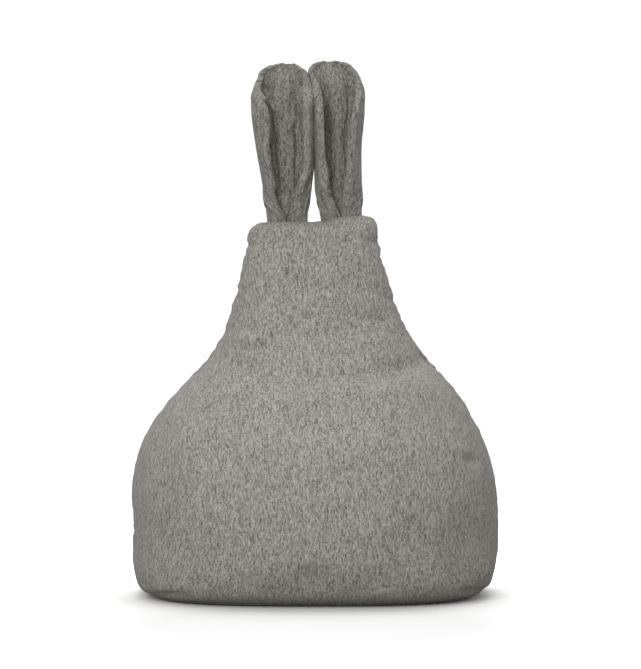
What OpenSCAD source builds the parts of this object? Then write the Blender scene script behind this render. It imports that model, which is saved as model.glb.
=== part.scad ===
// Child's bean bag chair with two ears: a sewn cover with a zip, a zipped liner inside it, and the beads.
// +Z is up, the seat faces -Y, and the origin is on the floor under the middle of the body.

/* [Body] */
// Height of the stuffed body, up to the seam that holds the ears
body_height = 632; // [615:1:650]
// Width of the body across its widest part
body_width = 620; // [600:1:640]
// How far the front of the seat stands forward of the origin
front_reach = 302; // [292:1:312]
// Radius of the round back, which the cover's zip follows
back_radius = 430; // [425:1:435]
// Half of the width of the seam along the top of the body
top_half_width = 90; // [80:1:96]
// How square the body is seen from above: 2 is an ellipse, and more is squarer
plan_power = 2.3; // [2:0.1:2.5]
// Thickness of the cover's fabric with its backing
cover_cloth = 2; // [1.6:0.1:2.2]

/* [Base] */
// Height over which the walls turn in to the base
base_turn = 45; // [40:1:48]
// How far the walls turn in at the floor
base_tuck = 44; // [38:1:48]
// Height of the seam between the base and the walls
base_seam_z = 12; // [10:1:14]

/* [Liner and beads] */
// How far the liner lies inside the cover's outer face
liner_inset = 7.5; // [7.3:0.1:7.8]
// Thickness of the liner's cloth
liner_cloth = 0.6; // [0.4:0.1:0.7]
// Height of the liner's underside above the floor
liner_floor_z = 9; // [8.8:0.1:9.2]
// How far the beads lie inside the cover's outer face
bead_inset = 10.5; // [10:0.1:12]
// Height of the underside of the beads above the floor
bead_floor_z = 12.5; // [12.5:0.1:14]

/* [Ears] */
// Height of the left ear above its hinge line
left_ear_height = 258; // [235:1:270]
// Height of the right ear above its hinge line
right_ear_height = 263; // [235:1:270]
// Half of the width of the left ear at its widest
left_ear_half = 53; // [45:1:53]
// Half of the width of the right ear at its widest
right_ear_half = 42; // [38:1:42]
// How far the ears' sides curl forward
ear_cup = 24; // [16:1:28]
// Half of the thickness of a stuffed ear at its middle
ear_plump = 13; // [10:1:15]
// Thickness of one leaf of an ear
ear_cloth = 1.2; // [0.8:0.1:1.3]

/* [Cover zip] */
// Height of the cover zip's lower end
zip_low_z = 60; // [55:1:70]
// Height of the cover zip's upper end
zip_high_z = 400; // [360:1:405]
// Length of the hanging pull, from its pin to its tip
pull_length = 29; // [24:1:32]

/* [Liner zip] */
// Length of the zip across the base of the liner
liner_zip_length = 300; // [240:1:320]

/* [Hidden] */

// Colours of the cloths and trims
cover_grey = [0.55, 0.53, 0.5];
ear_grey = [0.47, 0.45, 0.42];
tape_grey = [0.4, 0.39, 0.37];
liner_white = [0.93, 0.93, 0.91];
bead_white = [1, 1, 1];
metal_grey = [0.7, 0.7, 0.72];

// Gap left along a sewn seam, so that neighbouring panels are separate solids
seam_gap = 0.3;

// Centre of the round back, and the heights between which the back is this exact arc
back_centre_y = 300 - back_radius;
back_centre_z = 150;
back_arc_top_z = 430;

// Height where the body starts to close, and where its top seam lies from front to back
shoulder_z = body_height - 42;
top_seam_y = 75;
top_half_depth = 0.5;

// Half width of the body as a share of its widest half, against height as a share of the body's
width_curve = [
    [0.00, 0.980], [0.19, 1.000], [0.32, 0.977], [0.41, 0.920], [0.51, 0.813],
    [0.60, 0.655], [0.70, 0.510], [0.79, 0.432], [0.89, 0.390], [0.94, 0.372]
];

// How far forward the front lies as a share of front_reach, against the same share of height
front_curve = [
    [0.00, -0.960], [0.15, -1.000], [0.24, -0.993], [0.32, -0.957], [0.40, -0.881], [0.48, -0.755],
    [0.55, -0.570], [0.63, -0.358], [0.70, -0.225], [0.79, -0.110], [0.89, -0.025], [0.94, 0.040]
];

// How far back the neck lies above the round back, in millimetres, against height in millimetres
neck_curve = [
    [380, round_back_y(380)], [back_arc_top_z, round_back_y(back_arc_top_z)], [495, 155],
    [560, 136], [shoulder_z, 124], [body_height, 110]
];

// Heights of the rows of points that the walls are built on
wall_row_step = 28;
top_row_angles = [18 : 18 : 90];
wall_heights = concat(
    [base_seam_z + seam_gap, 20, 31],
    [for (z = [base_turn : wall_row_step : shoulder_z - 10]) z],
    [for (a = top_row_angles) shoulder_z + (body_height - shoulder_z) * sin(a)]
);

// Heights of the rows of the closed bag shapes inside, which start at the floor
bag_heights = concat(
    [0, 4, 12, 26],
    [for (z = [base_turn : 2 * wall_row_step : shoulder_z - 10]) z],
    [for (a = top_row_angles) shoulder_z + (body_height - shoulder_z) * sin(a)]
);

// Number of columns across the front, across one back panel, and round a whole bag
front_columns = 22;
back_columns = 12;
bag_columns = 36;

// Cover zip: half width of the open edge beside it, and its depths below the cover's outer face
zip_edge_x = 4;
coil_in_x = 0.6;
coil_out_x = 3;
tape_out_x = 14;
coil_top_depth = 0.5;
coil_bottom_depth = 3.9;
tape_top_depth = 3.3;
tape_bottom_depth = 3.8;
zip_low_angle = asin((zip_low_z - back_centre_z) / back_radius);
zip_high_angle = asin((zip_high_z - back_centre_z) / back_radius);
stop_angle = 0.35;
tape_tail_angle = 0.6;

// Cover zip's slider and pull
slider_half_angle = 0.8;
slider_angle = zip_low_angle + stop_angle + slider_half_angle + 0.5;
slider_half_x = 4.6;
pin_height = 4.6;
pin_r = 0.7;
pull_bore_r = 0.78;
pull_eye_r = 2.2;
pull_half_x = 3.5;
pull_thickness = 1.2;

// Care label: where it hangs on the back, and how thick it is
label_low_z = 440;
label_high_z = 488;
label_width = 32;
label_lift = 0.6;
label_cloth = 0.5;

// Liner zip: where it crosses the base, and the heights of its parts above the liner's underside
liner_zip_y = -20;
liner_slit_half = 4;
liner_coil_low = -0.2;
liner_coil_high = 1.6;
liner_tape_low = 0.8;
liner_tape_high = 1.3;
liner_slider_length = 12;

// Ears: [x of the root, half width of the root, x of the widest part, widest half width, height]
ear_split_x = -3;
ear_split_gap = 0.2;
left_ear = [
    -48, 38, ear_split_x - ear_split_gap - left_ear_half, left_ear_half, left_ear_height
];
right_ear = [
    47, 40, ear_split_x + ear_split_gap + right_ear_half, right_ear_half, right_ear_height
];
ear_hinge_z = body_height + 8;
ear_tip_start = 0.77;
ear_root_cup = 3;
ear_edge_half = 1.35;
ear_root_half = 4.4;
ear_gap = 1.4;
ear_rows = concat(
    [for (h = [0 : 0.11 : ear_tip_start]) h],
    [for (a = [0 : 18 : 90]) ear_tip_start + (1 - ear_tip_start) * sin(a)]
);
wadding_rows = [for (h = ear_rows) 0.03 + 0.9 * h];
wadding_reach = 0.72;

// ---- Curves -------------------------------------------------------------------------------------

function mix(a, b, t) = a + (b - a) * t;
function ease(t) = let (s = min(max(t, 0), 1)) s * s * (3 - 2 * s);
function signed_power(v, p) = sign(v) * pow(abs(v), p);
function flat(rows) = [for (row = rows) for (point = row) point];

// The last point of a curve that lies at or before x
function point_before(curve, x) = max([for (i = [0 : len(curve) - 2]) if (i == 0 || curve[i][0] <= x) i]);

// The slope of a curve at one of its points, from the points on either side
function slope_at(curve, i) =
    let (a = curve[max(i - 1, 0)], b = curve[min(i + 1, len(curve) - 1)])
    (b[1] - a[1]) / (b[0] - a[0]);

// A cubic from a to b with the slopes slope_a and slope_b, over t from 0 to 1
function cubic(a, b, slope_a, slope_b, t) =
    (2 * t * t * t - 3 * t * t + 1) * a + (t * t * t - 2 * t * t + t) * slope_a
    + (3 * t * t - 2 * t * t * t) * b + (t * t * t - t * t) * slope_b;

// A smooth curve through all the points, read at x
function smooth_curve(curve, x) =
    let (
        i = point_before(curve, x),
        span = curve[i + 1][0] - curve[i][0],
        t = min((x - curve[i][0]) / span, 1)
    )
    cubic(curve[i][1], curve[i + 1][1], slope_at(curve, i) * span, slope_at(curve, i + 1) * span, t);

// ---- Body shape ---------------------------------------------------------------------------------

// How far the walls have turned in towards the base at a height
function turned_in(z) = z < base_turn ? base_tuck * (1 - sqrt(1 - pow(1 - z / base_turn, 2))) : 0;

// 1 below the shoulder, falling to 0 at the top seam along a quarter of an ellipse
function top_rise(z) = max(z - shoulder_z, 0) / (body_height - shoulder_z);
function top_fade(z) = sqrt(max(1 - pow(top_rise(z), 2), 0));

function round_back_y(z) = back_centre_y + sqrt(pow(back_radius, 2) - pow(z - back_centre_z, 2));
function back_y(z) =
    (z <= back_arc_top_z ? round_back_y(z) : smooth_curve(neck_curve, z)) - turned_in(z);
function front_y(z) = front_reach * smooth_curve(front_curve, z / body_height) + turned_in(z);
function wall_half(z) = body_width / 2 * smooth_curve(width_curve, z / body_height) - turned_in(z);

// Half width, middle and half depth of the outer face at a height
function half_width(z) = mix(top_half_width, wall_half(min(z, shoulder_z)), top_fade(z));
function half_depth(z) =
    max((back_y(min(z, shoulder_z)) - front_y(min(z, shoulder_z))) / 2 * top_fade(z), top_half_depth);
function middle_y(z) =
    mix((back_y(min(z, shoulder_z)) + front_y(min(z, shoulder_z))) / 2, top_seam_y, top_rise(z));

// Height of a row of a face that lies inset within the outer one and starts at floor_z
function inset_height(z, inset, floor_z) = floor_z + z * (body_height - inset - floor_z) / body_height;

// A point of a face that lies inset within the outer one. The angle runs from +X towards +Y.
function bag_point(z, angle, inset, floor_z) = [
    (half_width(z) - inset) * signed_power(cos(angle), 2 / plan_power),
    middle_y(z) + max(half_depth(z) - inset, top_half_depth / 2) * signed_power(sin(angle), 2 / plan_power),
    inset_height(z, inset, floor_z)
];

// The angle at which a face that lies inset reaches a distance x from the middle plane
function angle_at_x(z, x, inset) = acos(pow(x / (half_width(z) - inset), plan_power / 2));

// Distance of a back panel's inner edge from the middle plane: open along the zip, sewn elsewhere
function back_edge_x(z) =
    z > zip_low_z - wall_row_step && z < zip_high_z + wall_row_step ? zip_edge_x : seam_gap / 2;

// ---- Solids from rows of points -----------------------------------------------------------------

// A curved sheet between two grids of points. Columns run anticlockwise round the outward side's
// normal and rows run up; the outer grid is on the outward side.
module sheet(outer, inner) {
    rows = len(outer);
    columns = len(outer[0]);
    count = rows * columns;
    function at(r, c) = r * columns + c;
    edge = concat(
        [for (c = [0 : columns - 1]) at(0, c)],
        [for (r = [1 : rows - 1]) at(r, columns - 1)],
        [for (c = [columns - 2 : -1 : 0]) at(rows - 1, c)],
        [for (r = [rows - 2 : -1 : 1]) at(r, 0)]
    );
    faces = concat(
        [for (r = [0 : rows - 2]) for (c = [0 : columns - 2]) [at(r, c), at(r + 1, c), at(r + 1, c + 1)]],
        [for (r = [0 : rows - 2]) for (c = [0 : columns - 2]) [at(r, c), at(r + 1, c + 1), at(r, c + 1)]],
        [for (r = [0 : rows - 2]) for (c = [0 : columns - 2])
            [count + at(r, c), count + at(r + 1, c + 1), count + at(r + 1, c)]],
        [for (r = [0 : rows - 2]) for (c = [0 : columns - 2])
            [count + at(r, c), count + at(r, c + 1), count + at(r + 1, c + 1)]],
        [for (k = [0 : len(edge) - 1])
            let (p = edge[k], q = edge[(k + 1) % len(edge)]) [p, q, count + q]],
        [for (k = [0 : len(edge) - 1])
            let (p = edge[k], q = edge[(k + 1) % len(edge)]) [p, count + q, count + p]]
    );
    polyhedron(points = concat(flat(outer), flat(inner)), faces = faces, convexity = 6);
}

// A closed solid through level rings of points, with a flat face at each end
module stack(rings) {
    size = len(rings[0]);
    last = (len(rings) - 1) * size;
    faces = concat(
        [for (r = [0 : len(rings) - 2]) for (c = [0 : size - 1])
            [r * size + c, (r + 1) * size + c, (r + 1) * size + (c + 1) % size]],
        [for (r = [0 : len(rings) - 2]) for (c = [0 : size - 1])
            [r * size + c, (r + 1) * size + (c + 1) % size, r * size + (c + 1) % size]],
        [[for (c = [0 : size - 1]) c]],
        [[for (c = [size - 1 : -1 : 0]) last + c]]
    );
    polyhedron(points = flat(rings), faces = faces, convexity = 6);
}

// ---- Cover --------------------------------------------------------------------------------------

// Rows of a face of the front panel, from the left side seam round the front to the right one
function front_rows(heights, inset, floor_z) = [
    for (z = heights) [
        for (c = [0 : front_columns])
            bag_point(z, 180 + 180 * c / front_columns, inset, floor_z) - [0, seam_gap / 2, 0]
    ]
];

// Rows of a face of the right back panel, from the side seam to the middle of the back
function back_right_rows(inset) = [
    for (z = wall_heights) [
        for (c = [0 : back_columns])
            bag_point(z, angle_at_x(z, back_edge_x(z), inset) * c / back_columns, inset, 0)
            + [0, seam_gap / 2, 0]
    ]
];

module front_panel() {
    color(cover_grey) sheet(front_rows(wall_heights, 0, 0), front_rows(wall_heights, cover_cloth, 0));
}

module back_right_panel() {
    color(cover_grey) sheet(back_right_rows(0), back_right_rows(cover_cloth));
}

module back_left_panel() {
    color(cover_grey) mirror([1, 0, 0]) sheet(back_right_rows(0), back_right_rows(cover_cloth));
}

// One ring of the base panel, drawn in by inset and set at height ring_z
function base_ring(z, inset, ring_z) = [
    for (c = [0 : bag_columns - 1])
        let (p = bag_point(z, 360 * c / bag_columns, inset, 0)) [p[0], p[1], ring_z]
];

module base_panel() {
    steps = [0, 0.17, 0.42, 0.7, 1];
    outside = [for (s = steps) base_ring(s * base_seam_z, 0, s * base_seam_z)];
    inside = [
        for (k = [len(steps) - 1 : -1 : 0])
            base_ring(
                steps[k] * base_seam_z, cover_cloth,
                mix(cover_cloth, base_seam_z, steps[k])
            )
    ];
    color(cover_grey) stack(concat(outside, inside));
}

// ---- Ears ---------------------------------------------------------------------------------------

function ear_middle_x(ear, h) = mix(ear[0], ear[2], ease(h / 0.6));
function ear_half_x(ear, h) =
    mix(ear[1], ear[3], ease(h / 0.6))
    * (h > ear_tip_start ? max(sqrt(max(1 - pow((h - ear_tip_start) / (1 - ear_tip_start), 2), 0)), 0.12) : 1);

// How far the sides curl forward, and half of the thickness at the middle, at share h of the height
function ear_curl(h) = mix(ear_root_cup, ear_cup, ease(h / 0.4)) * (1 - 0.45 * ease((h - 0.4) / 0.6));
function ear_thick(h) = mix(ear_root_half, ear_plump, ease(h / 0.45)) * (1 - 0.75 * ease((h - 0.6) / 0.4));

// A point at share t of the half width, and at share side of the thickness, 1 being the front face
function ear_point(ear, h, t, side, skin) =
    let (
        middle = top_seam_y + ear_curl(h) * (0.4 - t * t),
        half = mix(max(ear_thick(h), ear_edge_half), ear_edge_half, pow(t, 4)) - skin
    )
    [ear_middle_x(ear, h) + ear_half_x(ear, h) * t, middle - side * half, ear_hinge_z + ear[4] * h];

function ear_face(ear, rows, reach, side, skin) = [
    for (h = rows) [for (t = [-1 : 0.25 : 1]) ear_point(ear, h, t * reach, side, skin)]
];

module ear_front_leaf(ear) {
    color(ear_grey) sheet(ear_face(ear, ear_rows, 1, 1, 0), ear_face(ear, ear_rows, 1, 1, ear_cloth));
}

module ear_back_leaf(ear) {
    color(ear_grey) sheet(ear_face(ear, ear_rows, 1, -1, ear_cloth), ear_face(ear, ear_rows, 1, -1, 0));
}

module ear_wadding(ear) {
    skin = ear_cloth + ear_gap;
    color(liner_white)
        sheet(
            ear_face(ear, wadding_rows, wadding_reach, 1, skin),
            ear_face(ear, wadding_rows, wadding_reach, -1, skin)
        );
}

// ---- Cover zip ----------------------------------------------------------------------------------

// Turns a profile of [radius from the back's centre, x] along the round back between two angles
module along_back(low_angle, high_angle) {
    translate([0, back_centre_y, back_centre_z]) rotate([0, 90, 0]) rotate([0, 0, 90 + low_angle])
        rotate_extrude(angle = high_angle - low_angle, $fn = 360) children();
}

// A rectangle of that profile, from depth low to depth high below the cover's outer face
module strip(top_depth, bottom_depth, low_x, high_x) {
    translate([back_radius - bottom_depth, low_x]) square([bottom_depth - top_depth, high_x - low_x]);
}

// side is -1 for the left half of the zip and 1 for the right half
module cover_zip_tape(side) {
    color(tape_grey) along_back(zip_low_angle - tape_tail_angle, zip_high_angle + tape_tail_angle)
        strip(tape_top_depth, tape_bottom_depth, min(side * (coil_out_x + 0.1), side * tape_out_x),
            max(side * (coil_out_x + 0.1), side * tape_out_x));
}

module cover_zip_coil(side) {
    color(tape_grey) along_back(zip_low_angle + stop_angle + 0.05, zip_high_angle - stop_angle - 0.05)
        strip(coil_top_depth, coil_bottom_depth, min(side * coil_in_x, side * coil_out_x),
            max(side * coil_in_x, side * coil_out_x));
}

module cover_zip_stop(low_angle) {
    color(metal_grey) along_back(low_angle, low_angle + stop_angle)
        strip(coil_top_depth - 0.3, coil_bottom_depth + 0.3, -coil_out_x, coil_out_x);
}

module cover_zip_slider() {
    low = slider_angle - slider_half_angle;
    high = slider_angle + slider_half_angle;
    cheek_half_angle = 0.2;
    color(metal_grey) {
        along_back(low, high) {
            strip(-1.8, -0.3, -slider_half_x, slider_half_x);
            strip(coil_bottom_depth + 0.3, coil_bottom_depth + 1.3, -slider_half_x, slider_half_x);
            strip(-0.4, coil_bottom_depth + 0.4, -0.4, 0.4);
        }
        along_back(slider_angle - cheek_half_angle, slider_angle + cheek_half_angle) {
            strip(-pin_height - 1, -1.7, -3, -2.2);
            strip(-pin_height - 1, -1.7, 2.2, 3);
        }
        at_pin() cylinder(r = pin_r, h = 5, center = true, $fn = 48);
    }
}

// Puts a shape that is centred on Z onto the pull's pin, with its own -Y hanging straight down
module at_pin() {
    pin_radius = back_radius + pin_height;
    translate([0, back_centre_y + pin_radius * cos(slider_angle), back_centre_z + pin_radius * sin(slider_angle)])
        rotate([90, 0, 90]) children();
}

module cover_zip_pull() {
    color(metal_grey) at_pin() difference() {
        union() {
            cylinder(r = pull_eye_r, h = 3, center = true, $fn = 48);
            translate([-pull_thickness / 2, -4, -1.5]) cube([pull_thickness, 4, 3]);
            translate([-pull_thickness / 2, -pull_length, -pull_half_x])
                cube([pull_thickness, pull_length - 3.5, 2 * pull_half_x]);
        }
        cylinder(r = pull_bore_r, h = 4, center = true, $fn = 48);
    }
}

// Rows of a face of the care label, which hangs from the middle seam over the right back panel
function label_rows(lift) = [
    for (z = [label_low_z : 12 : label_high_z]) [
        for (c = [0 : 4])
            bag_point(z, angle_at_x(z, mix(label_width, 1, c / 4), -lift), -lift, 0) + [0, seam_gap, 0]
    ]
];

module care_label() {
    color(liner_white) sheet(label_rows(label_lift + label_cloth), label_rows(label_lift));
}

// ---- Liner and beads ----------------------------------------------------------------------------

function liner_front_rows(inset) = front_rows(bag_heights, inset, liner_floor_z + inset - liner_inset);
function liner_back_rows(inset) = [
    for (z = bag_heights) [
        for (c = [0 : front_columns])
            bag_point(z, 180 * c / front_columns, inset, liner_floor_z + inset - liner_inset)
            + [0, seam_gap / 2, 0]
    ]
];

module liner_front_panel() {
    color(liner_white)
        sheet(liner_front_rows(liner_inset), liner_front_rows(liner_inset + liner_cloth));
}

module liner_back_panel() {
    color(liner_white)
        sheet(liner_back_rows(liner_inset), liner_back_rows(liner_inset + liner_cloth));
}

module liner_base_panel() {
    outline = base_ring(0, liner_inset + liner_cloth + seam_gap, 0);
    color(liner_white) difference() {
        translate([0, 0, liner_floor_z]) linear_extrude(liner_cloth)
            polygon([for (p = outline) [p[0], p[1]]]);
        translate([-liner_zip_length / 2, liner_zip_y - liner_slit_half, 0])
            cube([liner_zip_length, 2 * liner_slit_half, 2 * liner_floor_z]);
    }
}

// A bar of the liner's zip, from low_y to high_y beside its middle line and low to high above the liner
module liner_bar(from_x, to_x, low_y, high_y, low, high) {
    translate([from_x, liner_zip_y + low_y, liner_floor_z + low])
        cube([to_x - from_x, high_y - low_y, high - low]);
}

// side is -1 for the front half of the zip and 1 for the back half
module liner_zip_tape(side) {
    reach = liner_zip_length / 2 + 8;
    color(tape_grey) liner_bar(-reach, reach, min(side * (coil_out_x + 0.1), side * tape_out_x),
        max(side * (coil_out_x + 0.1), side * tape_out_x), liner_tape_low, liner_tape_high);
}

module liner_zip_coil(side) {
    reach = liner_zip_length / 2 - 4;
    color(tape_grey) liner_bar(-reach, reach, min(side * coil_in_x, side * coil_out_x),
        max(side * coil_in_x, side * coil_out_x), liner_coil_low, liner_coil_high);
}

module liner_zip_stop(from_x) {
    color(metal_grey)
        liner_bar(from_x, from_x + 3, -coil_out_x, coil_out_x, liner_coil_low - 0.2, liner_coil_high + 0.2);
}

module liner_zip_slider() {
    from_x = -liner_zip_length / 2 + 5;
    to_x = from_x + liner_slider_length;
    color(metal_grey) {
        liner_bar(from_x, to_x, -slider_half_x, slider_half_x, liner_coil_low - 1.2, liner_coil_low - 0.3);
        liner_bar(from_x, to_x, -slider_half_x, slider_half_x, liner_coil_high + 0.3, liner_coil_high + 1.2);
        liner_bar(from_x, to_x, -0.4, 0.4, liner_coil_low - 0.4, liner_coil_high + 0.4);
    }
}

module bead_fill() {
    color(bead_white) stack([
        for (z = bag_heights) [
            for (c = [0 : bag_columns - 1]) bag_point(z, 360 * c / bag_columns, bead_inset, bead_floor_z)
        ]
    ]);
}

front_panel();
back_left_panel();
back_right_panel();
base_panel();
ear_back_leaf(left_ear);  // ear_left_back_leaf
ear_wadding(left_ear);  // ear_left_wadding
ear_front_leaf(left_ear);  // ear_left_front_leaf
ear_back_leaf(right_ear);  // ear_right_back_leaf
ear_wadding(right_ear);  // ear_right_wadding
ear_front_leaf(right_ear);  // ear_right_front_leaf
cover_zip_tape(-1);  // cover_zip_tape_left
cover_zip_tape(1);  // cover_zip_tape_right
cover_zip_coil(-1);  // cover_zip_coil_left
cover_zip_coil(1);  // cover_zip_coil_right
cover_zip_stop(zip_high_angle - stop_angle);  // cover_zip_top_stop
cover_zip_stop(zip_low_angle);  // cover_zip_bottom_stop
cover_zip_slider();
cover_zip_pull();
care_label();
liner_front_panel();
liner_back_panel();
liner_base_panel();
liner_zip_tape(-1);  // liner_zip_tape_front
liner_zip_tape(1);  // liner_zip_tape_back
liner_zip_coil(-1);  // liner_zip_coil_front
liner_zip_coil(1);  // liner_zip_coil_back
liner_zip_stop(-liner_zip_length / 2);  // liner_zip_stop_left
liner_zip_stop(liner_zip_length / 2 - 3);  // liner_zip_stop_right
liner_zip_slider();
bead_fill();
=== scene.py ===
import bpy
import numpy as np
from mathutils import Matrix


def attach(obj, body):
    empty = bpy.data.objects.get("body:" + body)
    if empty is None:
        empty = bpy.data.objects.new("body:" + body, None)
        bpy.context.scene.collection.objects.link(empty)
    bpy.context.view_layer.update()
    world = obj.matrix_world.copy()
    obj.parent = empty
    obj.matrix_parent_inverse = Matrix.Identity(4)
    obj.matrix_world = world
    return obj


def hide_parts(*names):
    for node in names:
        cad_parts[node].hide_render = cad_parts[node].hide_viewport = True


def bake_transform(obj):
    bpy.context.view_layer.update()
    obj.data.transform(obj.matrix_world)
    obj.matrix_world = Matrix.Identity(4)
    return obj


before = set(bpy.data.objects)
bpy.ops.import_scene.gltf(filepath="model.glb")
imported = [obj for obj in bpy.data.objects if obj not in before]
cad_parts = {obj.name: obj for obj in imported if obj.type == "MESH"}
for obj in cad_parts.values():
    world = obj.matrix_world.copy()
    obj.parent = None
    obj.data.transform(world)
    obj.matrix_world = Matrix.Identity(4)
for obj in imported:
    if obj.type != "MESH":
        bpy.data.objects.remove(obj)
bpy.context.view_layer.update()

MM = 0.001


# ---- Studio ---------------------------------------------------------------------------------------
# A white sweep under two large soft boxes: one stands in front, a little to the left, and the other
# hangs overhead. The room round it is white too, and dimmer, so the underside stays a shade darker.

def linear(colour):
    """The linear RGBA of an sRGB hex colour: each channel c becomes ((c + 0.055) / 1.055) ** 2.4."""
    channels = np.array([int(colour[i:i + 2], 16) for i in (1, 3, 5)]) / 255
    low, high = channels / 12.92, ((channels + 0.055) / 1.055) ** 2.4
    return (*np.where(channels <= 0.04045, low, high).tolist(), 1.0)


def add_node(tree, kind, settings=None):
    """Adds a shader node. settings are its own properties, or its sockets by name or by number. A
    socket takes a value, or another node's output, which is then linked to it."""
    made = tree.nodes.new(kind)
    for key, value in (settings or {}).items():
        if isinstance(value, bpy.types.NodeSocket):
            tree.links.new(value, made.inputs[key])
        elif isinstance(key, str) and hasattr(made, key):
            setattr(made, key, value)
        else:
            made.inputs[key].default_value = value
    return made


def new_material(name):
    """An empty node material, with its tree and its output node."""
    material = bpy.data.materials.new(name)
    material.use_nodes = True
    tree = material.node_tree
    tree.nodes.clear()
    return material, tree, tree.nodes.new("ShaderNodeOutputMaterial")


def join_surface(tree, output, tone, stops, relief, rough, shine):
    """Joins a material's patterns to its surface. tone runs through the ramp's stops, which are places
    and hex colours. relief is a height with its strength and its size in millimetres, rough is a
    pattern with its lowest and highest roughness, and shine holds the shader's other settings."""
    colour = add_node(tree, "ShaderNodeValToRGB", {"Fac": tone})
    ramp = colour.color_ramp.elements
    ramp[0].position, ramp[1].position = stops[0][0], stops[-1][0]
    for place, _ in stops[1:-1]:
        ramp.new(place)
    for stop, (_, shade) in zip(ramp, stops):
        stop.color = linear(shade)
    height, strength, size_mm = relief
    lift = {"Strength": strength, "Distance": size_mm * MM, "Height": height}
    bump = add_node(tree, "ShaderNodeBump", lift)
    pattern, lowest, highest = rough
    roughness = add_node(tree, "ShaderNodeMapRange", {"To Min": lowest, "To Max": highest, 0: pattern})
    joined = {
        "Base Color": colour.outputs["Color"],
        "Roughness": roughness.outputs["Result"],
        "Normal": bump.outputs["Normal"],
    }
    shader = add_node(tree, "ShaderNodeBsdfPrincipled", {**shine, **joined})
    tree.links.new(shader.outputs["BSDF"], output.inputs["Surface"])


def new_mesh(name, points, faces, material):
    """A smooth object at the origin whose mesh holds these points and faces."""
    mesh = bpy.data.meshes.new(name)
    mesh.from_pydata(np.asarray(points, float).reshape(-1, 3), [], faces)
    mesh.materials.append(material)
    mesh.shade_smooth()
    made = bpy.data.objects.new(name, mesh)
    bpy.context.collection.objects.link(made)
    return made


def studio_floor_paint():
    """Matt white paint with a faint unevenness, under painted light. The lamps are set for the cloth, so what
    the eye sees is painted up to white with painted light that grows with distance from the bag and is least
    just in front of it, so that its soft shade shows there. What the floor sends back to the cloth is a plain
    grey."""
    material, tree, output = new_material("studio_floor_white_paint_and_painted_light")
    place = add_node(tree, "ShaderNodeTexCoord").outputs["Object"]
    grain = add_node(tree, "ShaderNodeTexNoise", {"Scale": 6.0, "Detail": 2.0, "Vector": place})
    from_bag = {"operation": "DISTANCE", 0: place, 1: (0.0, -0.5, 0.0)}
    distance = add_node(tree, "ShaderNodeVectorMath", from_bag)
    # Painted light: the floor's tone rises from 0.97 near a point just in front of the bag to 2.1 a metre
    # away, so the floor is left darker in front of the bag
    fade = {"From Min": 0.25, "From Max": 1.0, "To Min": 0.97, "To Max": 2.1}
    painted_light_by_distance = add_node(tree, "ShaderNodeMapRange", {**fade, 0: distance.outputs["Value"]})
    shares = {"operation": "MULTIPLY_ADD", 0: grain.outputs["Fac"], 1: 0.03, 2: painted_light_by_distance.outputs["Result"]}
    tone = add_node(tree, "ShaderNodeMath", shares)
    seen = add_node(tree, "ShaderNodeBsdfDiffuse", {"Color": tone.outputs[0]})
    bounced = add_node(tree, "ShaderNodeBsdfDiffuse", {"Color": (0.42, 0.42, 0.42, 1.0)})
    ray = add_node(tree, "ShaderNodeLightPath").outputs["Is Camera Ray"]
    both = add_node(tree, "ShaderNodeMixShader", {0: ray, 1: bounced.outputs[0], 2: seen.outputs[0]})
    tree.links.new(both.outputs[0], output.inputs["Surface"])
    return material


floor_half = 14.0
floor_corners = [(-1, -1, 0), (1, -1, 0), (1, 1, 0), (-1, 1, 0)]
floor = new_mesh("studio_floor", floor_half * np.array(floor_corners), [(0, 1, 2, 3)], studio_floor_paint())

room = bpy.data.worlds.new("white_room")
room.use_nodes = True
room_tree = room.node_tree
room_light = room_tree.nodes["Background"]
room_light.inputs["Color"].default_value = (1.0, 1.0, 1.0, 1.0)
room_light.inputs["Strength"].default_value = 0.5
room_seen = add_node(room_tree, "ShaderNodeBackground", {"Strength": 1.05, "Color": (1.0, 1.0, 1.0, 1.0)})
room_ray = add_node(room_tree, "ShaderNodeLightPath").outputs["Is Camera Ray"]
room_mix = add_node(
    room_tree, "ShaderNodeMixShader", {0: room_ray, 1: room_light.outputs[0], 2: room_seen.outputs[0]},
)
room_tree.links.new(room_mix.outputs[0], room_tree.nodes["World Output"].inputs["Surface"])
bpy.context.scene.world = room


def aim(thing, place, target):
    """Puts a camera or lamp at place with its -Z axis towards target and its X axis level."""
    back = np.array(place, float) - np.array(target, float)
    back /= np.linalg.norm(back)
    right = np.cross((0, 0, 1), back)
    right /= np.linalg.norm(right)
    turned = np.eye(4)
    turned[:3, 0], turned[:3, 1], turned[:3, 2], turned[:3, 3] = right, np.cross(back, right), back, place
    thing.matrix_world = Matrix(turned.tolist())


def soft_box(name, place, target, side, watts):
    """A square soft box of the given side, aimed at target."""
    lamp = bpy.data.lights.new(name, "AREA")
    lamp.shape = "SQUARE"
    lamp.size = side
    lamp.energy = watts
    holder = bpy.data.objects.new(name, lamp)
    bpy.context.collection.objects.link(holder)
    aim(holder, place, target)


soft_box("front_soft_box", (-0.7, -3.2, 1.2), (0.0, 0.0, 0.4), 1.7, 56.0)
soft_box("overhead_soft_box", (0.1, 0.6, 2.6), (0.0, 0.0, 0.2), 2.0, 30.0)

camera_target = (0.009, 0.0, 0.438)
camera_distance = 5.0
camera_rise = np.radians(0.4)
camera_data = bpy.data.cameras.new("camera")
camera_data.sensor_fit = "HORIZONTAL"
camera_data.sensor_width = 36.0
camera_data.lens = 166.3
camera = bpy.data.objects.new("camera", camera_data)
bpy.context.collection.objects.link(camera)
camera_step = camera_distance * np.array([0, -np.cos(camera_rise), np.sin(camera_rise)])
aim(camera, np.array(camera_target) + camera_step, camera_target)
bpy.context.scene.camera = camera
bpy.context.scene.view_settings.view_transform = "Standard"


# ---- Cover's skin ---------------------------------------------------------------------------------
# The outer shape of the filled bag, from which the cover's four panels are cut further down: a wide
# seat that stands nearly upright at the sides, a sloping lap, and a narrow back. It is a grid of
# points whose rows run from the middle of the base, out, and up to the top seam.

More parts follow.
